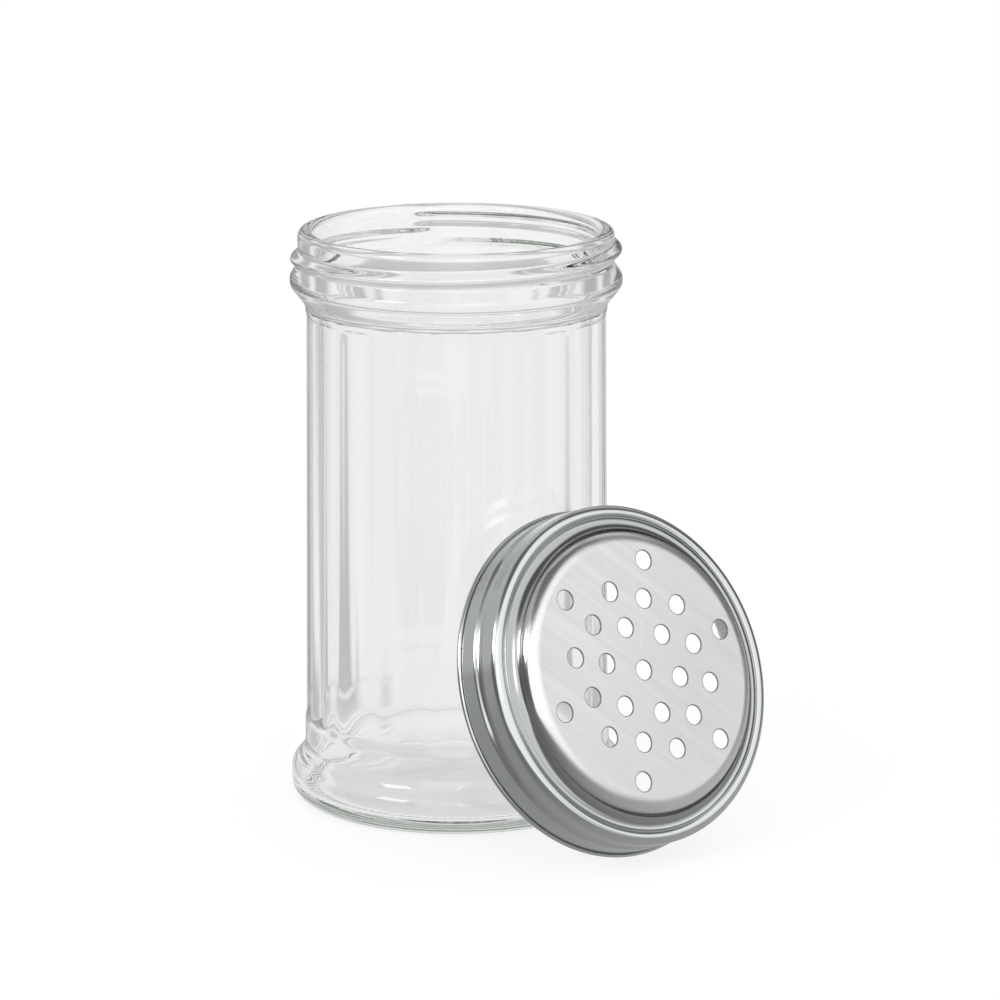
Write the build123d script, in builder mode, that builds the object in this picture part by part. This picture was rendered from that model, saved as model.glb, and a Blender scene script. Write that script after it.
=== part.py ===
from build123d import *
from math import acos, cos, degrees, hypot, radians, sin
import os

# Glass spice shaker with a perforated screw lid. Millimetres, +Z up, origin at
# the centre of the jar's bearing ring, on the surface that the jar stands on.
# The lid is off: it stands on its rim and leans its mouth against the jar.

# ---- jar: heights, stacked down from the lip and up from the table ----------
jar_height = 132.0
finish_height = 8.6          # plain neck, from the lip to the transfer bead
bead_top_slope = 1.15        # bead's upper flank
bead_crest = 2.65            # bead's crest, between its unrounded corners
bead_flank = 4.4             # bead's lower flank, down to the body
shoulder_gap = 0.9           # from that flank down to the panels' crescents
ledge_height = 2.0           # slope that ends each flat panel in a crescent
panel_foot = 19.9            # lower end of the flats
heel_crest = 7.6             # foot bulge, up to its unrounded shoulder
heel_flank = 3.6             # from there up to the body

# ---- jar: radii -------------------------------------------------------------
body_radius = 35.1           # just above the foot
body_draw = 0.8              # how much less it is under the shoulder
heel_bulge = 3.2             # how far the foot stands out past the body
heel_round = 3.8             # from the foot bulge under to the bearing ring
bearing_width = 5.0
neck_radius = 35.8
bead_stand = 2.0             # how far the transfer bead stands off the neck
bead_foot_round = 3.0        # round under the bead's crest
bead_head_round = 2.2        # and over it

# ---- jar: glass -------------------------------------------------------------
neck_wall = 3.6
lip_round = 1.5
body_wall = 2.3              # behind the round part of the body
waist_wall = 1.9             # above the foot bulge, where the bore narrows
heel_wall = 2.6              # at the widest of the foot bulge
base_thickness = 3.5         # between the crowns of the push-up and the floor
floor_edge = 3.2             # height of the floor where it meets the wall
floor_corner = 1.4
push_up = 2.5

# ---- jar: panels ------------------------------------------------------------
panel_count = 18
panel_depth = 0.7            # body radius less the apothem of the flats
panel_corner = 5.0           # round between two panels

# ---- lid: sheet, and how it fits the jar ------------------------------------
sheet = 0.4
thread_height = 1.5          # how far the neck's thread stands off the neck
thread_clearance = 0.3       # skirt to thread, on the radius
bead_clearance = 0.2         # skirt to transfer bead, on the radius
lid_height = 15.8            # from the plate down to the centre of the curl
step_drop = 4.1              # from the plate down to the channel's floor
step_run = 1.2               # and how far it slopes out on the way
channel_width = 2.7
channel_overlap = 2.75       # how far the channel's floor laps over the lip
crown_ramp = 0.6             # rise from the channel to the crown, in plan
crown_drop = 3.6             # from the plate down to the crown
curl_offset = 0.15           # skirt's outer face to the middle of the roll

# ---- lid: holes -------------------------------------------------------------
hole_diameter = 4.35
hole_rings = ((10.2, 0), (16.2, 30), (18.8, 0), (25.0, 30))
holes_in_ring = 6
hole_spin = -18.3            # turn of the whole pattern about the lid's axis

# ---- how the lid leans ------------------------------------------------------
lean_azimuth = -50.0         # which way its plate faces, about +Z
lean_elevation = 22.5        # and how far it looks up
rest_gap = 0.65              # between the lid's rim and the panel it leans on

# Levels and radii that follow from the sizes above.
bead_top = jar_height - finish_height
crest_top = bead_top - bead_top_slope
crest_foot = crest_top - bead_crest
shoulder = crest_foot - bead_flank
panel_head = shoulder - shoulder_gap - ledge_height
top_radius = body_radius - body_draw
foot_flat = body_radius - panel_depth
head_flat = top_radius - panel_depth
heel_radius = body_radius + heel_bulge
bearing_outer = heel_radius - heel_round
bearing_inner = bearing_outer - bearing_width
bead_radius = neck_radius + bead_stand
mouth_radius = neck_radius - neck_wall
body_bore = body_radius - body_wall
top_bore = top_radius - body_wall
waist_bore = body_radius - waist_wall
heel_bore = heel_radius - heel_wall
channel_edge = mouth_radius + channel_overlap
plate_edge = channel_edge - channel_width - step_run
skirt_head = neck_radius + thread_height + thread_clearance + sheet
skirt_foot = bead_radius + bead_clearance + sheet


def taken(bend, run, rise):
    """Length that a round takes off an upright wall that turns to this slope."""
    return bend * abs(run) / (rise + hypot(run, rise))


# The bead's two rounds share its crest, so the lower one is limited to the
# length that the upper one leaves.
crest_left = 0.98 * (bead_crest - taken(bead_head_round, bead_stand, bead_top_slope))
crest_used = taken(bead_foot_round, bead_radius - top_radius, bead_flank)
crest_round = bead_foot_round / max(1, crest_used / crest_left)


# ---- the band that the panels take off the body -----------------------------
# A ring round the body, less a round-cornered prism that tapers with it and
# widens at both ends. One flat faces the lid, which leans against it.
run_out = 1.4
ring_foot = panel_foot - run_out * ledge_height
ring_head = panel_head + run_out * ledge_height
wide_foot = foot_flat + run_out * panel_depth
wide_head = head_flat + run_out * panel_depth

with BuildPart() as panel_band:
    with BuildSketch(Plane.XY.offset(ring_foot)):
        Circle(body_radius + panel_depth)
    extrude(amount=ring_head - ring_foot)
    for level, flat in (
        (ring_foot, wide_foot),
        (panel_foot, foot_flat),
        (panel_head, head_flat),
        (ring_head, wide_head),
    ):
        with BuildSketch(Plane.XY.offset(level)) as across:
            RegularPolygon(
                flat,
                panel_count,
                major_radius=False,
                rotation=lean_azimuth - 180 / panel_count,
            )
            fillet(across.vertices(), panel_corner)
    loft(ruled=True, mode=Mode.SUBTRACT)

# ---- jar --------------------------------------------------------------------
with BuildPart() as glass_jar:
    # Outside, turned about Z: push-up, bearing ring, foot bulge, straight
    # body, transfer bead, plain neck and the top of the lip.
    with BuildSketch(Plane.XZ):
        with BuildLine():
            dome = TangentArc((0, push_up), (bearing_inner, 0), tangent=(1, 0))
            outside = FilletPolyline(
                dome @ 1,
                (heel_radius, 0),
                (heel_radius, heel_crest),
                (body_radius, heel_crest + heel_flank),
                (top_radius, shoulder),
                (bead_radius, crest_foot),
                (bead_radius, crest_top),
                (neck_radius, bead_top),
                (neck_radius, jar_height),
                (0, jar_height),
                radius=(heel_round, 4.0, 5.0, 2.5, crest_round, bead_head_round, 0.5, 0),
            )
            Line(outside @ 1, dome @ 0)
        make_face()
    revolve(axis=Axis.Z)
    add(panel_band.part, mode=Mode.SUBTRACT)

    # Inside, turned about Z: domed floor, heel pocket, waist, body, shoulder
    # and the straight bore of the mouth.
    with BuildSketch(Plane.XZ):
        with BuildLine():
            floor = TangentArc(
                (0, push_up + base_thickness),
                (heel_bore - floor_corner - 1.0, floor_edge),
                tangent=(1, 0),
            )
            inside = FilletPolyline(
                floor @ 1,
                (heel_bore, floor_edge),
                (heel_bore, heel_crest - 1.6),
                (waist_bore, heel_crest + heel_flank - 1.2),
                (body_bore, panel_foot),
                (top_bore, shoulder - 2.0),
                (mouth_radius, crest_foot + 0.9),
                (mouth_radius, jar_height),
                radius=(floor_corner, 2.4, 4.0, 20.0, 6.0, 6.0),
            )
            Line(inside @ 1, (0, jar_height))
            Line((0, jar_height), floor @ 0)
        make_face()
    revolve(axis=Axis.Z, mode=Mode.SUBTRACT)
    fillet(glass_jar.edges().group_by(Axis.Z)[-1], lip_round)

# ---- where the lid stands ---------------------------------------------------
# Its curled rim touches the table at the lowest point and the facing panel at
# the highest, less the rest gap; the plate's centre lies out along its axis.
curl_radius = sheet + curl_offset
curl_ring = skirt_foot + curl_offset
rim_height = curl_radius + curl_ring * cos(radians(lean_elevation))
touch_height = rim_height + curl_ring * cos(radians(lean_elevation))
touch_part = (touch_height - panel_foot) / (panel_head - panel_foot)
touch_flat = foot_flat + (head_flat - foot_flat) * touch_part
rim_reach = touch_flat + rest_gap + curl_radius + curl_ring * sin(radians(lean_elevation))
outward = Vector(1, 0, 0).rotate(Axis.Z, lean_azimuth)
lid_axis = outward * cos(radians(lean_elevation)) + Vector(0, 0, sin(radians(lean_elevation)))
rim_centre = outward * rim_reach + Vector(0, 0, rim_height)
lid_plane = Plane(
    origin=rim_centre + lid_axis * lid_height,
    x_dir=outward.rotate(Axis.Z, 90),
    z_dir=lid_axis,
)
lid_section = Plane(lid_plane.origin, x_dir=lid_plane.x_dir, z_dir=-lid_plane.y_dir)


def beside(points, gap):
    """The run of straight lines that lies this far to the right of another."""
    ends = [complex(*point) for point in points]
    right = [-1j * (b - a) / abs(b - a) for a, b in zip(ends, ends[1:])]
    corners = zip(ends, [right[0]] + right, right + [right[-1]])
    moved = [end + 2 * gap * (a + b) / abs(a + b) ** 2 for end, a, b in corners]
    return [(point.real, point.imag) for point in moved]


# ---- lid --------------------------------------------------------------------
with BuildPart() as perforated_lid:
    # One sheet, turned about the lid's axis: plate, step, channel, crown,
    # skirt, and the rim rolled tight outward. Radius runs right, the axis up.
    with BuildSketch(lid_section):
        with BuildLine():
            roll_meets = 180 - degrees(acos(curl_offset / curl_radius))
            roll = CenterArc(
                (curl_ring, -lid_height), curl_radius, 180, 180 + roll_meets
            )
            outer_run = (
                (0, 0),
                (plate_edge, 0),
                (channel_edge - channel_width, -step_drop),
                (channel_edge, -step_drop),
                (channel_edge + crown_ramp, -crown_drop),
                (skirt_head, -crown_drop),
                tuple(roll @ 1)[:2],
            )
            bends = (3.4, 1.8, 1.0, 1.2, 1.6)
            swell = (-sheet, sheet, sheet, -sheet, -sheet)
            inner_run = beside(outer_run, sheet)
            inner_run[-1] = tuple(roll @ 0)[:2]
            face = FilletPolyline(*outer_run, radius=bends)
            back = FilletPolyline(
                *inner_run, radius=[bend + more for bend, more in zip(bends, swell)]
            )
            Line(face @ 0, back @ 0)
        make_face()
    revolve(axis=Axis(lid_plane.origin, lid_plane.z_dir))

    # One hole at the centre and four rings of six round it.
    with BuildSketch(lid_plane):
        Circle(hole_diameter / 2)
        for ring_radius, turn in hole_rings:
            with PolarLocations(ring_radius, holes_in_ring, start_angle=hole_spin + turn):
                Circle(hole_diameter / 2)
    extrude(amount=2 * sheet, both=True, mode=Mode.SUBTRACT)

# ---- written pieces ---------------------------------------------------------
glass_jar.part.label = "glass_jar"
perforated_lid.part.label = "perforated_lid"
os.makedirs("parts", exist_ok=True)
export_step(glass_jar.part, "parts/glass_jar.step")
export_step(perforated_lid.part, "parts/perforated_lid.step")
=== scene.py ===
import bpy
import numpy as np
from mathutils import Matrix, Vector
from mathutils.geometry import delaunay_2d_cdt


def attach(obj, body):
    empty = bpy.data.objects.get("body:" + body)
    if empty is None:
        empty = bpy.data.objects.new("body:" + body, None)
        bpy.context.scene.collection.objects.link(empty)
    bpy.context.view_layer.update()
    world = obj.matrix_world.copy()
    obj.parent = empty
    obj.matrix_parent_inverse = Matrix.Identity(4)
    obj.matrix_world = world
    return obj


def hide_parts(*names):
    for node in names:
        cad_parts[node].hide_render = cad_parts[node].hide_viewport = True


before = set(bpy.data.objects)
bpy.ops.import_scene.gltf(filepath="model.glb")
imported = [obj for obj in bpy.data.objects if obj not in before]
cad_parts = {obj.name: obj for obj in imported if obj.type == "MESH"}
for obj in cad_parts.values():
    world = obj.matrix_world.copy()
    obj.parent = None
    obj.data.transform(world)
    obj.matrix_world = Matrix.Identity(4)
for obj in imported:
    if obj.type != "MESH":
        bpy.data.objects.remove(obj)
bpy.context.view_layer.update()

# ---- glass jar ---------------------------------------------------------------
# One piece of clear soda-lime glass, pressed and then blown in an iron mould:
# panelled body, round heel on a knurled bearing ring, level transfer bead,
# threaded neck and a fire-polished lip. The wall is a few millimetres thick.
MM = 0.001
JAR_COLUMNS = 432
LIP, LIP_MIDDLE = 132.0, 34.0
RING_INSIDE, PUSH_UP = 29.5, 2.5
FLOOR_EDGE, FLOOR_LEVEL, FLOOR_CROWN = 33.3, 3.2, 2.8
POLE_RADIUS = 3.0                       # innermost row of the push-up and the floor

# Corners of the section, in millimetres: up the outside, over the lip and down
# the inside. Radius, height, round, and how many rows lie on the way there.
JAR_SECTION = (
    (RING_INSIDE, 0.0, 1.0, 2),         # bearing ring
    (38.3, 0.0, 3.8, 11),               # foot bulge
    (38.3, 7.6, 4.0, 2),
    (35.1, 11.2, 5.0, 1),               # body, drawn in towards the shoulder
    (35.053, 17.3, 0, 2),
    (35.0, 24.2, 0, 16),
    (34.36, 107.4, 0, 12),
    (34.306, 114.4, 0, 18),
    (34.3, 115.2, 2.5, 1),
    (37.66, 119.5, 2.2, 2),             # transfer bead
    (37.66, 121.45, 1.8, 1),
    (35.8, 124.0, 0.8, 1),              # neck
    (35.8, 130.4, 0, 32),
    (35.8, LIP, 1.5, 1),                # lip
    (32.2, LIP, 1.5, 1),
    (32.2, 120.5, 6.0, 5),              # bore of the neck and of the body
    (32.0, 113.2, 6.0, 1),
    (32.8, 19.9, 20.0, 14),
    (33.2, 10.0, 4.0, 2),               # waist, and the pocket in the heel
    (35.7, 6.0, 2.4, 1),
    (35.7, FLOOR_LEVEL, 1.4, 1),
    (FLOOR_EDGE, FLOOR_LEVEL, 0, 1),
)
ARC_STEP = 9                            # degrees from row to row on a round


def rounded(corners):
    """Section through a run of corners: every corner becomes the arc of its round
    that touches both lines, and each line is cut into its rows."""
    points = np.array([corner[:2] for corner in corners], float)
    rows, last = [points[:1]], points[0]
    for i in range(1, len(points)):
        corner, (bend, steps) = points[i], corners[i][2:]
        start, arc = corner, None
        if bend and i + 1 < len(points):
            back, ahead = points[i - 1] - corner, points[i + 1] - corner
            back, ahead = back / np.hypot(*back), ahead / np.hypot(*ahead)
            turn = np.pi - np.arccos(back @ ahead)
            start, end = (corner + side * bend * np.tan(turn / 2) for side in (back, ahead))
            halfway = (back + ahead) / np.hypot(*(back + ahead))
            middle = corner + halfway * bend / np.cos(turn / 2)
            count = max(3, round(np.degrees(turn) / ARC_STEP) + 1)
            share = np.linspace(0, 1, count)[1:, None]
            from_start = np.sin((1 - share) * turn) * (start - middle)
            from_end = np.sin(share * turn) * (end - middle)
            arc = middle + (from_start + from_end) / np.sin(turn)
        line = np.linspace(0, 1, int(steps) + 1)[1:, None]
        rows.append(last + (start - last) * line)
        if arc is not None:
            rows.append(arc)
        last = rows[-1][-1]
    return np.concatenate(rows)


def smooth(x):
    """0 below 0, 1 above 1, and between them three squares less two cubes, which is
    an even S."""
    x = np.clip(x, 0, 1)
    return x * x * (3 - 2 * x)


azimuth = np.arange(JAR_COLUMNS) * 2 * np.pi / JAR_COLUMNS
dome_radius = np.linspace(POLE_RADIUS, RING_INSIDE, 9)[:-1]
dome = PUSH_UP * (1 - (dome_radius / RING_INSIDE) ** 2)
floor_radius = np.linspace(FLOOR_EDGE, POLE_RADIUS, 8)[1:]
crown = FLOOR_LEVEL + FLOOR_CROWN * (1 - (floor_radius / FLOOR_EDGE) ** 2)
jar_rows = np.concatenate([
    np.stack([dome_radius, dome], -1), rounded(JAR_SECTION), np.stack([floor_radius, crown], -1),
])
lip_row = int(np.argmax(jar_rows[:, 1] - 0.001 * np.abs(jar_rows[:, 0] - LIP_MIDDLE)))
is_outside = (np.arange(len(jar_rows)) < lip_row)[:, None]
radius, height = jar_rows[:, :1], jar_rows[:, 1:]
spread = np.broadcast_to(azimuth, (len(jar_rows), JAR_COLUMNS))

# The 18 flats that the mould presses into the body. One of them faces the lid.
PANELS, PANEL_CORNER = 18, 10.0
PANEL_FOOT, PANEL_HEAD = 19.9, 112.3
PANEL_FLAT, PANEL_DRAW = 34.4, 0.8
PANELLED_FROM, PANELLED_TO = 14, 117
CORNER_BLUR = np.radians(0.9)           # how far a corner is spread to either side
EASE, EASE_AT_HEAD, EASE_AT_FOOT = 0.06, 0.16, 0.24
LID_SIDE = np.radians(-50.0)            # which way round the jar the lid lies


def panelled(azimuth, flat):
    """Distance from the jar's axis to a prism with round corners: flat over the
    cosine of the turn from a flat's middle, and near a corner the far crossing
    with the circle that rounds it."""
    step, bend = 2 * np.pi / PANELS, PANEL_CORNER
    turn = np.abs((azimuth - LID_SIDE + step / 2) % step - step / 2)
    reach = (flat - bend) / np.cos(step / 2)
    on_arc = turn > np.arctan((flat - bend) * np.tan(step / 2) / flat)
    off = step / 2 - turn
    arc = reach * np.cos(off) + np.sqrt(np.maximum(bend**2 - (reach * np.sin(off)) ** 2, 0))
    return np.where(on_arc, arc, flat / np.cos(turn))


# The prism draws in with the body. Past both ends of the flats it widens ever
# faster, so that each flat runs out in a crescent. The skin is the lesser of body
# and prism, eased into each other, and most softly at the foot.
drawn = np.clip((height - PANEL_FOOT) / (PANEL_HEAD - PANEL_FOOT), 0, 1)
under, over = np.maximum(0, PANEL_FOOT - height), np.maximum(0, height - PANEL_HEAD)
foot_run_out = 0.2 * under + 0.15 * under**2
head_run_out = 0.35 * over + 1.5 * np.maximum(over - 2.0, 0) ** 2
flat = PANEL_FLAT - PANEL_DRAW * drawn + foot_run_out + head_run_out
prism = np.mean([panelled(spread + aside * CORNER_BLUR, flat) for aside in (-1, 0, 1)], axis=0)
near_head, near_foot = smooth((height - 107.5) / 5), smooth((25.5 - height) / 6)
ease = EASE + EASE_AT_HEAD * near_head + EASE_AT_FOOT * near_foot
eased = -ease * np.logaddexp(-radius / ease, -prism / ease)
on_body = is_outside & (height > PANELLED_FROM) & (height < PANELLED_TO)
jar_radius = np.where(on_body, eased, radius)

# The thread on the neck, in millimetres and degrees.
THREAD_PITCH, THREAD_STAND, THREAD_LEVEL = 4.23, 1.7, 125.32
THREAD_ABOVE, THREAD_BELOW = 2.0, 1.7
THREAD_START, THREAD_LEVELS, THREAD_END = 91, 380, 474
THREAD_FOOT, THREAD_HEAD = 122.5, LIP - 1.5


def thread_on_neck(azimuth, height):
    """How far the thread stands off the neck: one right-hand turn that climbs by its
    pitch and levels off at its upper end. Across, it is the power 1.5 of 1 less the
    square of the way from its crest to its edge, and steeper below than above."""
    stand = 0.0
    for lap in (0, 360):
        along = np.degrees(azimuth) % 360 + lap
        levelled = 0.5 * smooth((along - THREAD_LEVELS) / 80)
        crest = THREAD_LEVEL + THREAD_PITCH * (along - 180) / 360 - levelled
        edge = np.where(height > crest, THREAD_ABOVE, THREAD_BELOW)
        across = np.clip((height - crest) / edge, -1, 1)
        ends = smooth((along - THREAD_START) / 18) * smooth((THREAD_END - along) / 15)
        stand = np.maximum(stand, THREAD_STAND * (1 - across**2) ** 1.5 * ends)
    return stand


on_neck = is_outside & (height > THREAD_FOOT) & (height < THREAD_HEAD)
jar_radius = np.where(on_neck, jar_radius + thread_on_neck(spread, height), jar_radius)

# The slow waves that the blowing leaves inside: times round the jar, size, twist
# in radians per millimetre of height, and turn.
WAVES = ((3, 1.0, 0, 0.9), (5, 0.7, 1 / 31, 2.0), (11, 0.5, -1 / 47, 0.4), (19, 0.35, 0, 1.7))
WAVE_DEPTH, WAVE_FOOT, WAVE_HEAD = 0.03, 8, 116
waves = sum(size * np.sin(times * spread + twist * height + at) for times, size, twist, at in WAVES)
fade = smooth((height - WAVE_FOOT) / 8) * smooth((WAVE_HEAD - height) / 6)
within = ~is_outside & (height > WAVE_FOOT) & (height < WAVE_HEAD)
jar_radius = np.where(within, jar_radius + WAVE_DEPTH * waves * fade, jar_radius)

# The knurl: short notches pressed up into the bearing ring, which leave it to stand
# on the ribs between them.
RIBS, RIB_DEPTH = 108, 0.3
RIB_INSIDE, RIB_OUTSIDE, RIB_HEAD = 31.4, 36.0, 1.2
ribs = 0.5 - 0.5 * np.cos(RIBS * spread)
on_ring = smooth((radius - RIB_INSIDE) / 0.6) * smooth((RIB_OUTSIDE - radius) / 0.8)
jar_height = height + RIB_DEPTH * ribs * on_ring * (height < RIB_HEAD) * is_outside


def turned_faces(rows, columns):
    """Quads of a grid that closes round its axis, rows by columns, facing right of
    the way that its section runs."""
    row, column = np.meshgrid(np.arange(rows - 1), np.arange(columns), indexing="ij")
    here, next_to = row * columns + column, row * columns + (column + 1) % columns
    quads = np.stack([here, next_to, next_to + columns, here + columns], -1)
    return quads.reshape(-1, 4).tolist()


def piece_of(name, points, faces):
    """A smooth-shaded mesh object at the origin, with its place in its mesh, made of
    points in millimetres."""
    mesh = bpy.data.meshes.new(name)
    mesh.from_pydata((points * MM).tolist(), [], faces)
    mesh.validate()
    mesh.shade_smooth()
    piece = bpy.data.objects.new(name, mesh)
    bpy.context.scene.collection.objects.link(piece)
    return piece


jar_skin = np.stack([jar_radius * np.cos(spread), jar_radius * np.sin(spread), jar_height], -1)
poles = [[0, 0, PUSH_UP], [0, 0, FLOOR_LEVEL + FLOOR_CROWN]]
jar_points = np.concatenate([jar_skin.reshape(-1, 3), poles])
pole_low, pole_high = len(jar_points) - 2, len(jar_points) - 1
around = np.arange(JAR_COLUMNS)
after = (around + 1) % JAR_COLUMNS
last_row = (len(jar_rows) - 1) * JAR_COLUMNS
caps = np.concatenate([
    np.stack([np.full(JAR_COLUMNS, pole_low), after, around], -1),
    np.stack([np.full(JAR_COLUMNS, pole_high), last_row + around, last_row + after], -1),
]).tolist()
jar = piece_of("jar_glass", jar_points, turned_faces(len(jar_rows), JAR_COLUMNS) + caps)


class Shade:
    """One socket of a node tree. Sums and products of shades add the Math nodes that
    work them out, and node() adds any other kind."""

    def __init__(self, tree, socket=None):
        self.tree, self.socket = tree, socket

    def node(self, kind, sockets=(), out=0, **settings):
        """A node of a kind: its settings first, then a value or a link for each of its
        sockets."""
        made = self.tree.nodes.new(kind)
        for name, value in settings.items():
            setattr(made, name, value)
        for name, value in dict(sockets).items():
            if isinstance(value, Shade):
                self.tree.links.new(value.socket, made.inputs[name])
            else:
                made.inputs[name].default_value = value
        return Shade(self.tree, made.outputs[out] if made.outputs else None)

    def math(self, operation, *values):
        """A Math node on numbers and shades."""
        return self.node("ShaderNodeMath", dict(enumerate(values)), operation=operation)

    def __add__(self, other):
        return self.math("ADD", self, other)

    def __sub__(self, other):
        return self.math("SUBTRACT", self, other)

    def __rsub__(self, other):
        return self.math("SUBTRACT", other, self)

    def __mul__(self, other):
        return self.math("MULTIPLY", self, other)

    __radd__, __rmul__ = __add__, __mul__


def finish_for(piece, name):
    """A new material on the piece, as an empty node tree wrapped in a Shade."""
    material = bpy.data.materials.new(name)
    material.use_nodes = True
    material.node_tree.nodes.clear()
    piece.data.materials.append(material)
    return Shade(material.node_tree)


# Clear glass, grey-green where it is thick, with the faint swell of the mould and
# the fine chill marks of the iron in its skin.
GLASS, THICK_GLASS = (0.967, 0.967, 0.967, 1), (0.72, 0.77, 0.72, 1)
glass = finish_for(jar, "clear_soda_lime_glass")
on_jar = glass.node("ShaderNodeTexCoord", out="Object")
swell = glass.node("ShaderNodeTexNoise", {"Vector": on_jar, "Scale": 55.0, "Detail": 1.0})
chill = glass.node("ShaderNodeTexNoise", {"Vector": on_jar, "Scale": 420.0, "Detail": 3.0})
skin = glass.node("ShaderNodeBump", {
    "Strength": 1.0, "Distance": 0.028 * MM, "Height": swell + 0.12 * chill,
})
surface = glass.node("ShaderNodeBsdfPrincipled", {
    "Base Color": GLASS, "Roughness": 0.0, "IOR": 1.52, "Transmission Weight": 1.0,
    "Normal": skin,
})
depth = glass.node("ShaderNodeVolumeAbsorption", {"Color": THICK_GLASS, "Density": 14.0})
glass.node("ShaderNodeOutputMaterial", {"Surface": surface, "Volume": depth})
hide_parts("glass_jar")
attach(jar, "jar")

# ---- perforated lid ----------------------------------------------------------
# One disc of 0.4 mm stainless sheet: brushed plate with 25 punched holes, step,
# channel and crown pressed in, skirt with one rolled-in turn of thread, and the
# raw edge curled outward. It stands on that curl and leans on the jar.
LID_COLUMNS, SHEET = 324, 0.4
LID_RISE = np.radians(22.5)
LID_CENTRE = np.array([41.4596, -49.4097, 42.2120])
LID_AXIS = np.array([
    np.cos(LID_SIDE) * np.cos(LID_RISE), np.sin(LID_SIDE) * np.cos(LID_RISE), np.sin(LID_RISE),
])
LID_ACROSS = np.array([-np.sin(LID_SIDE), np.cos(LID_SIDE), 0.0])
LID_UP = np.cross(LID_AXIS, LID_ACROSS)
LID_AXES = np.stack([LID_ACROSS, LID_UP, LID_AXIS])

# Corners of the sheet's face, from the plate's edge down to the curl: radius,
# height over the plate, round, and rows on the way there.
PLATE_EDGE = 28.4
LID_SECTION = (
    (PLATE_EDGE, 0.0, 0, 1),            # plate
    (31.05, 0.0, 3.4, 1),               # step
    (32.25, -4.1, 2.3, 1),              # channel
    (34.95, -4.1, 1.5, 2),
    (35.55, -3.6, 1.7, 1),              # crown
    (38.0, -3.6, 1.6, 2),
    (38.06, -5.4, 0, 2),                # skirt
    (38.34, -13.5, 0, 44),
    (38.4, -15.2, 0, 3),
)

# The edge is curled outward: round the roll, and down into the slit that stays
# open between the edge and the skirt.
CURL_MIDDLE, CURL_ROUND = np.array([38.55, -15.8]), 0.55
CURL_SLIT = np.array([
    [38.40, -15.6], [38.41, -15.85], [38.50, -15.94], [38.62, -15.90],
    [38.68, -15.78], [38.62, -15.66], [38.56, -15.60],
])

# The thread rolled into the skirt: the same pitch as the neck's.
GROOVE_DEPTH, GROOVE_HALF, GROOVE_LEVEL, GROOVE_FADE = 0.85, 1.5, -9.4, 14
SKIRT_HEAD = -5.0


def thread_in_skirt(turn, along):
    """How deep the skirt is rolled in: a round groove that climbs by the thread's
    pitch in one turn and fades out past both ends of the turn."""
    depth = 0.0
    for lap in (-360, 0):
        at = np.degrees(turn) % 360 + lap
        groove = GROOVE_LEVEL + THREAD_PITCH * (at - 180) / 360
        across = np.clip((along - groove) / GROOVE_HALF, -1, 1)
        ends = smooth((at + 12) / GROOVE_FADE) * smooth((372 - at) / GROOVE_FADE)
        depth = np.maximum(depth, GROOVE_DEPTH * (1 - across**2) ** 1.5 * ends)
    return depth


# The back of the sheet lies its thickness behind the face, and takes the groove
# of the row of the face that it lies behind.
face = rounded(LID_SECTION)
way = np.gradient(face, axis=0)
way[0] = (1, 0)
way /= np.hypot(*way.T)[:, None]
back = face - SHEET * np.stack([-way[:, 1], way[:, 0]], -1)
swing = np.radians(np.linspace(82, -180, 24))
roll = CURL_MIDDLE + CURL_ROUND * np.stack([np.cos(swing), np.sin(swing)], -1)
curl = np.concatenate([roll[::-1], CURL_SLIT[::-1]])
lid_rows = np.concatenate([back, curl, face[::-1]])
face_along = np.concatenate([face, curl, face[::-1]])[:, 1:]
is_sheet = np.concatenate([np.ones(len(back)), np.zeros(len(curl)), np.ones(len(face))])
on_skirt = is_sheet[:, None] * (face_along < SKIRT_HEAD)
turn = np.arange(LID_COLUMNS) * 2 * np.pi / LID_COLUMNS
turn = np.broadcast_to(turn, (len(lid_rows), LID_COLUMNS))
lid_radius = lid_rows[:, :1] - on_skirt * thread_in_skirt(turn, face_along)
lid_along = np.broadcast_to(lid_rows[:, 1:], turn.shape)
turned = np.stack([lid_radius * np.cos(turn), lid_radius * np.sin(turn), lid_along], -1)
turned = turned.reshape(-1, 3)

# The plate: its rim and the holes as rings, with a guard ring beside each, and a
# hexagonal spread of points between them, joined up by one triangulation.
HOLE, HOLE_ROLL, HOLE_COLUMNS = 2.175, 0.14, 40
HOLE_RINGS = ((10.2, 0), (16.2, 30), (18.8, 0), (25.0, 30))
HOLES_IN_RING, HOLE_SPIN = 6, -18.3
HOLE_GUARD, RIM_GUARD = 0.12, 0.3
SPOT_GAP, SPOT_ROW = 1.3, 1.126
SPOT_OFF_HOLE, SPOT_OFF_RIM = 0.75, 0.8
PLATE_DISH = 0.12


def from_holes(places):
    """Distance from each place to the middle of the nearest hole."""
    return np.hypot(*(places[:, None] - hole_at).transpose(2, 0, 1)).min(1)


def dished(places):
    """How far the plate stands up: its dish times the square of 1 less the square of
    the way out to its edge."""
    return PLATE_DISH * (1 - (np.hypot(*places.T) / PLATE_EDGE) ** 2) ** 2


def ring_edges(first, count):
    """Index pairs that close a ring of points."""
    at = np.arange(count)
    return np.stack([first + at, first + (at + 1) % count], -1).tolist()


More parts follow.
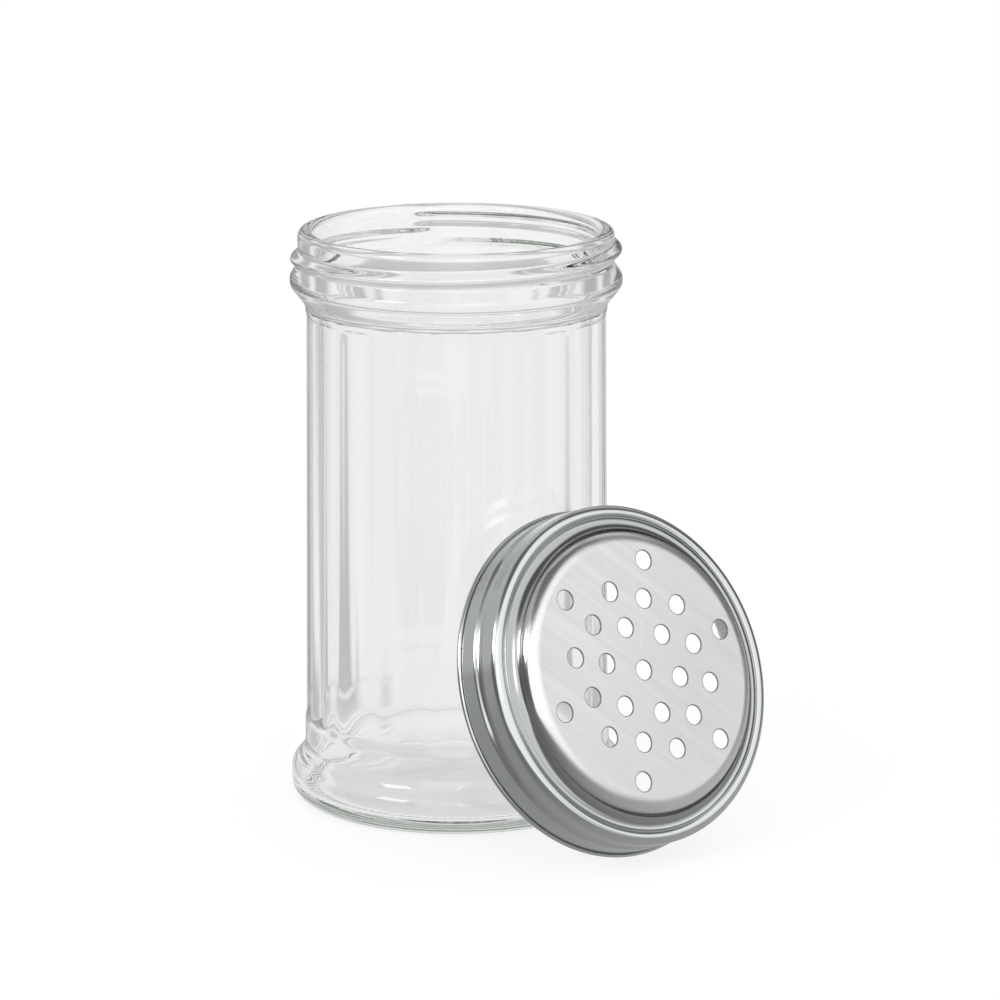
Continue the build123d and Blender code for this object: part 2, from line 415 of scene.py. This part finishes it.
ring_out, ring_start = np.array(HOLE_RINGS).T
in_ring = 360 / HOLES_IN_RING * np.arange(HOLES_IN_RING)
hole_turn = np.radians(HOLE_SPIN + ring_start[:, None] + in_ring).ravel()
hole_out = np.repeat(ring_out, HOLES_IN_RING)
hole_at = np.stack([hole_out * np.cos(hole_turn), hole_out * np.sin(hole_turn)], -1)
hole_at = np.concatenate([[[0, 0]], hole_at])
circle = np.arange(HOLE_COLUMNS) * 2 * np.pi / HOLE_COLUMNS
circle = np.stack([np.cos(circle), np.sin(circle)], -1)
hole_reach = HOLE + HOLE_ROLL
hole_edge = (hole_at[:, None] + hole_reach * circle).reshape(-1, 2)
hole_guard = (hole_at[:, None] + (hole_reach + HOLE_GUARD) * circle).reshape(-1, 2)
plate_rim = turned[-LID_COLUMNS:, :2]
rim_guard = plate_rim * (1 - RIM_GUARD / PLATE_EDGE)
along, up = np.meshgrid(np.arange(-30, 31), np.arange(-34, 35), indexing="ij")
spots = np.stack([(along + 0.5 * (up % 2)) * SPOT_GAP, up * SPOT_ROW], -1).reshape(-1, 2)
clear = from_holes(spots) > hole_reach + SPOT_OFF_HOLE
spots = spots[clear & (np.hypot(*spots.T) < PLATE_EDGE - SPOT_OFF_RIM)]
plate_spots = np.concatenate([plate_rim, hole_edge, hole_guard, rim_guard, spots])
rings = ring_edges(0, LID_COLUMNS)
for hole in range(len(hole_at)):
    rings += ring_edges(LID_COLUMNS + hole * HOLE_COLUMNS, HOLE_COLUMNS)
cut = delaunay_2d_cdt(plate_spots.tolist(), rings, [], 0, 1e-7)
given = np.array(cut[3])[:, 0]
triangles = given[np.array(cut[2])]
triangles = triangles[from_holes(plate_spots[triangles].mean(1)) > hole_reach - 0.01]

# Both faces of the plate share the triangles. Their rims are the first and the
# last row of the turned sheet.
plate_inner = plate_spots[LID_COLUMNS:]
inner_count = len(plate_inner)
dish = dished(plate_inner)
plate_face = np.column_stack([plate_inner, dish])
plate_back = np.column_stack([plate_inner, dish - SHEET])
face_first = len(turned)
back_first = face_first + inner_count
wall_first = back_first + inner_count
rim = np.arange(LID_COLUMNS)
inner = np.arange(inner_count)
face_index = np.concatenate([face_first - LID_COLUMNS + rim, face_first + inner])
back_index = np.concatenate([rim, back_first + inner])

# The holes' walls: rolled over at the face by the punch, then straight, and
# slightly broken at the back. Depths are from the plate's face.
HOLE_STRAIGHT, HOLE_BROKEN, HOLE_BREAK = -0.33, -0.38, 0.05
fall = np.radians([22.5, 45, 67.5, 90])
roll_radius, roll_depth = HOLE + HOLE_ROLL * (1 - np.sin(fall)), -HOLE_ROLL * (1 - np.cos(fall))
wall_radius = np.concatenate([roll_radius, [HOLE, HOLE + HOLE_BREAK]])
wall_depth = np.concatenate([roll_depth, [HOLE_STRAIGHT, HOLE_BROKEN]])
wall_rows = len(wall_radius)
wall_xy = hole_at[:, None, None] + wall_radius[None, :, None, None] * circle[None, None]
wall_along = (dished(hole_at)[:, None] + wall_depth)[:, :, None, None]
wall_along = np.broadcast_to(wall_along, (*wall_xy.shape[:3], 1))
walls = np.concatenate([wall_xy, wall_along], -1).reshape(-1, 3)


def wall_point(hole, row, column):
    """Index of a hole wall's point: its first row is the plate's face edge, its last
    the plate's back edge."""
    column = column % HOLE_COLUMNS
    on_edge = hole * HOLE_COLUMNS + column
    own = wall_first + (hole * wall_rows + row - 1) * HOLE_COLUMNS + column
    below = np.where(row == wall_rows + 1, back_first + on_edge, own)
    return np.where(row == 0, face_first + on_edge, below)


hole, row, column = np.meshgrid(
    np.arange(len(hole_at)), np.arange(wall_rows + 1), np.arange(HOLE_COLUMNS), indexing="ij",
)
wall_faces = np.stack([
    wall_point(hole, row, column), wall_point(hole, row, column + 1),
    wall_point(hole, row + 1, column + 1), wall_point(hole, row + 1, column),
], -1).reshape(-1, 4)
lid_points = LID_CENTRE + np.concatenate([turned, plate_face, plate_back, walls]) @ LID_AXES
lid_faces = (
    turned_faces(len(lid_rows), LID_COLUMNS) + face_index[triangles].tolist()
    + back_index[triangles[:, ::-1]].tolist() + wall_faces.tolist()
)
lid = piece_of("steel_lid", lid_points, lid_faces)

# Painted shade in the steel's colour: wholly on the holes' walls, nearly so round their edges, and
# by half on the sheet's back, inside the lid.
ON_WALL, ON_EDGE, ON_BACK = 1.0, 0.8, 0.5
painted_edge_shade = np.zeros(len(lid_points))
painted_edge_shade[wall_first:] = ON_WALL
painted_edge_shade[face_first:face_first + len(hole_edge)] = ON_EDGE
painted_edge_shade[:len(back) * LID_COLUMNS] = ON_BACK
lid.data.attributes.new("painted_edge_shade", "FLOAT", "POINT").data.foreach_set("value", painted_edge_shade)

steel = finish_for(lid, "brushed_stainless_sheet")


def on_plate(spin, stretch):
    """Place on the plate, from its centre, along and across a grain turned by that
    much, in steps of these sizes in metres."""
    axes = Matrix(LID_AXES.T.tolist()) @ Matrix.Rotation(spin, 3, "Z")
    return steel.node("ShaderNodeMapping", {
        "Vector": steel.node("ShaderNodeTexCoord", out="Object"),
        "Location": tuple(LID_CENTRE * MM), "Rotation": tuple(axes.to_euler()), "Scale": stretch,
    }, vector_type="TEXTURE")


def ramp(shade, start, end):
    """An even S from 0 at start to 1 at end."""
    return shade.node(
        "ShaderNodeMapRange", {"Value": shade, 1: start, 2: end, 3: 0.0, 4: 1.0},
        interpolation_type="SMOOTHSTEP",
    )


def tinted(share, first, second):
    """The first colour where the share is 0, the second where it is 1."""
    return share.node("ShaderNodeMix", {0: share, 6: first, 7: second}, out=2, data_type="RGBA")


# The belt's grain: fine lines and broader bands that run one way across the plate.
BRUSHED, LINES, BANDS = np.radians(-43), (0.045, 0.0003, 0.05), (0.08, 0.0022, 0.05)
grain = steel.node("ShaderNodeTexNoise", {
    "Vector": on_plate(BRUSHED, LINES), "Scale": 1.0, "Detail": 3.0, "Roughness": 0.6,
})
bands = steel.node("ShaderNodeTexNoise", {
    "Vector": on_plate(BRUSHED, BANDS), "Scale": 1.0, "Detail": 2.0,
})

# Zones round the lid's axis, by radius in metres: the brushed plate, the plate's light tone, and
# the step and channel, where a darker tone is painted in as shade in the recess.
DULL_GRAIN, LIGHT_GRAIN = (0.73, 0.73, 0.725, 1), (0.91, 0.91, 0.905, 1)
CROWN_STEEL, CHANNEL_SHADE_TONE = (0.645, 0.665, 0.665, 1), (0.20, 0.205, 0.21, 1)
on_lid = on_plate(0, (1, 1, 1))
sideways = steel.node("ShaderNodeVectorMath", {0: on_lid, 1: (1, 1, 0)}, operation="MULTIPLY")
from_axis = steel.node("ShaderNodeVectorMath", {0: sideways}, out="Value", operation="LENGTH")
plate = steel.node("ShaderNodeMapRange", {
    "Value": from_axis, 1: 0.0300, 2: 0.0312, 3: 1.0, 4: 0.0,
})
light_zone = ramp(from_axis, 0.0327, 0.0319)
# Painted shade: the step and channel are darkened by half towards a dark steel tone.
painted_channel_shade = 0.5 * ramp(from_axis, 0.0309, 0.0318) * ramp(from_axis, 0.0349, 0.0339)
plate_tone = tinted(grain, DULL_GRAIN, LIGHT_GRAIN)
face_tone = tinted(light_zone, CROWN_STEEL, plate_tone)
sheet_tone = tinted(painted_channel_shade, face_tone, CHANNEL_SHADE_TONE)

# One long scratch, from beside the middle hole up to the top one, on a line that
# runs this way across the plate and this far, in metres, from the lid's axis.
SCRATCH_X, SCRATCH_Y, SCRATCH_OFF = 0.354, 0.935, 0.00111
# The first tone is the scratch's; the second is the dark tone of the painted shade on the holes and
# the sheet's back.
BARE_SCRATCH, EDGE_SHADE_STEEL = (1.0, 1.0, 1.0, 1), (0.26, 0.26, 0.25, 1)
lid_x, lid_y = (steel.node("ShaderNodeSeparateXYZ", {0: on_lid}, out=n) for n in range(2))
aside = steel.math("ABSOLUTE", SCRATCH_Y * lid_x - SCRATCH_X * lid_y + SCRATCH_OFF)
run = SCRATCH_X * lid_x + SCRATCH_Y * lid_y
scratch = 0.55 * ramp(aside, 0.00016, 0.00004) * ramp(run, 0.002, 0.006) * ramp(run, 0.021, 0.017)
scratched = tinted(scratch, sheet_tone, BARE_SCRATCH)
# Painted shade on the holes' walls and edges and on the sheet's back, darkening the steel.
edge_shade = steel.node("ShaderNodeAttribute", out="Fac", attribute_name="painted_edge_shade")
steel_tone = tinted(edge_shade, scratched, EDGE_SHADE_STEEL)

score = steel.node("ShaderNodeBump", {
    "Strength": 1.0, "Distance": 0.02 * MM, "Height": grain * plate,
})
sheet = steel.node("ShaderNodeBsdfPrincipled", {
    "Base Color": steel_tone, "Metallic": 1.0, "Normal": score,
    "Roughness": 0.14 + plate * (0.10 + 0.18 * bands),
})
steel.node("ShaderNodeOutputMaterial", {"Surface": sheet})
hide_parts("perforated_lid")
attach(lid, "lid")

# ---- paper floor -------------------------------------------------------------
# A wide sheet of pale paper that glows through, so that it is seen as white. It
# shows glass and metal the grey of a studio floor, and keeps the object's shadow.
PAPER_HALF, PAPER_GREY = 4.0, (0.18, 0.18, 0.18, 1)
floor_mesh = bpy.data.meshes.new("floor")
corners = [(side * PAPER_HALF, deep * PAPER_HALF, 0)
           for side, deep in ((-1, -1), (1, -1), (1, 1), (-1, 1))]
floor_mesh.from_pydata(corners, [], [(0, 1, 2, 3)])
floor = bpy.data.objects.new("floor", floor_mesh)
bpy.context.scene.collection.objects.link(floor)


def rays(tree):
    """Whether the ray comes from the camera, off a gloss, or through glass, as three
    shades of 0 or 1. A ray through glass counts as glossy too, so that is taken off."""
    kinds = ("Is Camera Ray", "Is Glossy Ray", "Is Transmission Ray")
    camera, gloss, through = (tree.node("ShaderNodeLightPath", out=kind) for kind in kinds)
    return camera, gloss * (1 - through), through


def dark_strips(side, deep):
    """1 in the dark strips that draw the edges of glass: one either side of each
    quarter turn round the jar, folded into one eighth, from 14 to 44 degrees."""
    around = side.math("PINGPONG", side.math("ARCTAN2", side, deep), np.pi / 4)
    rise = ramp(around, np.radians(14), np.radians(26))
    return rise * (1 - ramp(around, np.radians(36), np.radians(44)))


paper = finish_for(floor, "pale_paper")
spot = paper.node("ShaderNodeTexCoord", out="Object")
x, y = (paper.node("ShaderNodeSeparateXYZ", {0: spot}, out=n) for n in range(2))
from_camera, off_gloss, through_glass = rays(paper)
from_jar = paper.math("SQRT", x * x + y * y)
strips = dark_strips(x, y) * ramp(from_jar, 0.05, 0.10)

# What metal mirrors: lighter to the right, behind, and close round the jar's foot.
mirrored = (
    0.22 + 0.10 * ramp(x, 0.0, 0.09) + 0.2 * ramp(y, -0.13, -0.03)
    + 0.5 * ramp(from_jar, 0.055, 0.042)
)
glow = from_camera * 0.84 + through_glass * (0.79 - 0.46 * strips)
lit = paper.node("ShaderNodeBsdfDiffuse", {"Color": PAPER_GREY})
shine = paper.node("ShaderNodeEmission", {"Strength": glow})
seen = paper.node("ShaderNodeAddShader", {0: shine, 1: lit})
shown = paper.node("ShaderNodeEmission", {"Strength": mirrored})
both = paper.node("ShaderNodeMixShader", {0: off_gloss, 1: seen, 2: shown})
paper.node("ShaderNodeOutputMaterial", {"Surface": both})

# ---- room --------------------------------------------------------------------
# An even white room that is seen as white. Metal mirrors it grey with soft white
# walls, and glass shows it white, but darker higher up and in strips.
OTHER_LIGHT = 0.9
world = bpy.data.worlds.new("room")
bpy.context.scene.world = world
world.use_nodes = True
world.node_tree.nodes.clear()
room = Shade(world.node_tree)
spot = room.node("ShaderNodeTexCoord", out="Generated")
x, y, z = (room.node("ShaderNodeSeparateXYZ", {0: spot}, out=n) for n in range(3))
from_camera, off_gloss, through_glass = rays(room)

# The walls. Each fades in from the first number to the second, by how far the
# direction points right in x, back in y and up in z.
right = ramp(x, 0.3, 0.6) * ramp(y, 0.12, -0.04) * (0.3 + 0.7 * ramp(z, 0.12, 0.35))
front = ramp(y, -0.3, -0.5) * ramp(x, -0.5, -0.4) * ramp(z, 0.88, 0.74)
left = ramp(x, -0.2, -0.5) * ramp(y + z, 0.0, 0.3)
behind = ramp(y, 0.75, 0.92) * ramp(x, 0.25, -0.05)
above = ramp(z, 0.35, 0.6) * ramp(y, 0.35, 0.6)
mirrored = (
    0.16 + 1.05 * right * (1 - front) + 1.1 * front + 0.3 * behind + 0.42 * left + 0.4 * above
)

# What glass shows, and what everything together gives each kind of ray.
beyond = (1 - 0.42 * ramp(z, 0.0, 0.3)) * (1 - 0.3 * dark_strips(x, y) * ramp(z, 0.15, 0.02))
other = (1 - from_camera) * (1 - off_gloss) * (1 - through_glass)
level = from_camera + off_gloss * mirrored + through_glass * beyond + other * OTHER_LIGHT
light = room.node("ShaderNodeBackground", {"Color": (1, 1, 1, 1), "Strength": level})
room.node("ShaderNodeOutputWorld", {"Surface": light})

# ---- soft boxes --------------------------------------------------------------
# Two soft boxes on stands, high at the left and in front, both aimed at the jar.
# Name, turn and rise in degrees, width and height in metres, watts.
SOFT_BOXES = (
    ("soft_box_left", -50, 38, 0.5, 0.4, 3.6),
    ("soft_box_front", 14, 36, 0.6, 0.5, 1.6),
)
BOX_AWAY, BOX_AIM = 1.5, Vector((0.02, -0.02, 0.05))
for name, side, rise, wide, tall, watts in SOFT_BOXES:
    data = bpy.data.lights.new(name, "AREA")
    data.shape, data.size, data.size_y, data.energy = "RECTANGLE", wide, tall, watts
    box = bpy.data.objects.new(name, data)
    bpy.context.scene.collection.objects.link(box)
    side, rise = np.radians(side), np.radians(rise)
    outward = (np.sin(side) * np.cos(rise), -np.cos(side) * np.cos(rise), np.sin(rise))
    box.location = BOX_AWAY * Vector(outward)
    box.rotation_euler = (BOX_AIM - box.location).to_track_quat("-Z", "Y").to_euler()
    box.visible_camera = box.visible_transmission = False

# ---- camera ------------------------------------------------------------------
# A long lens a metre in front of the jar, looking down on it by 13 degrees, with
# no blur by distance.
CAMERA_PLACE, CAMERA_DIP, CAMERA_LENS = (0.0099, -0.999, 0.3047), 13.28, 161.46
camera_data = bpy.data.cameras.new("camera")
camera_data.sensor_width, camera_data.lens = 36.0, CAMERA_LENS
camera = bpy.data.objects.new("camera", camera_data)
bpy.context.scene.collection.objects.link(camera)
camera.location = CAMERA_PLACE
camera.rotation_euler = (np.radians(90 - CAMERA_DIP), 0, 0)
bpy.context.scene.camera = camera
bpy.context.scene.view_settings.view_transform = "Standard"

# Thick glass passes light on many times before it comes out.
limits = bpy.context.scene.cycles
limits.max_bounces, limits.glossy_bounces, limits.transmission_bounces = 64, 32, 48
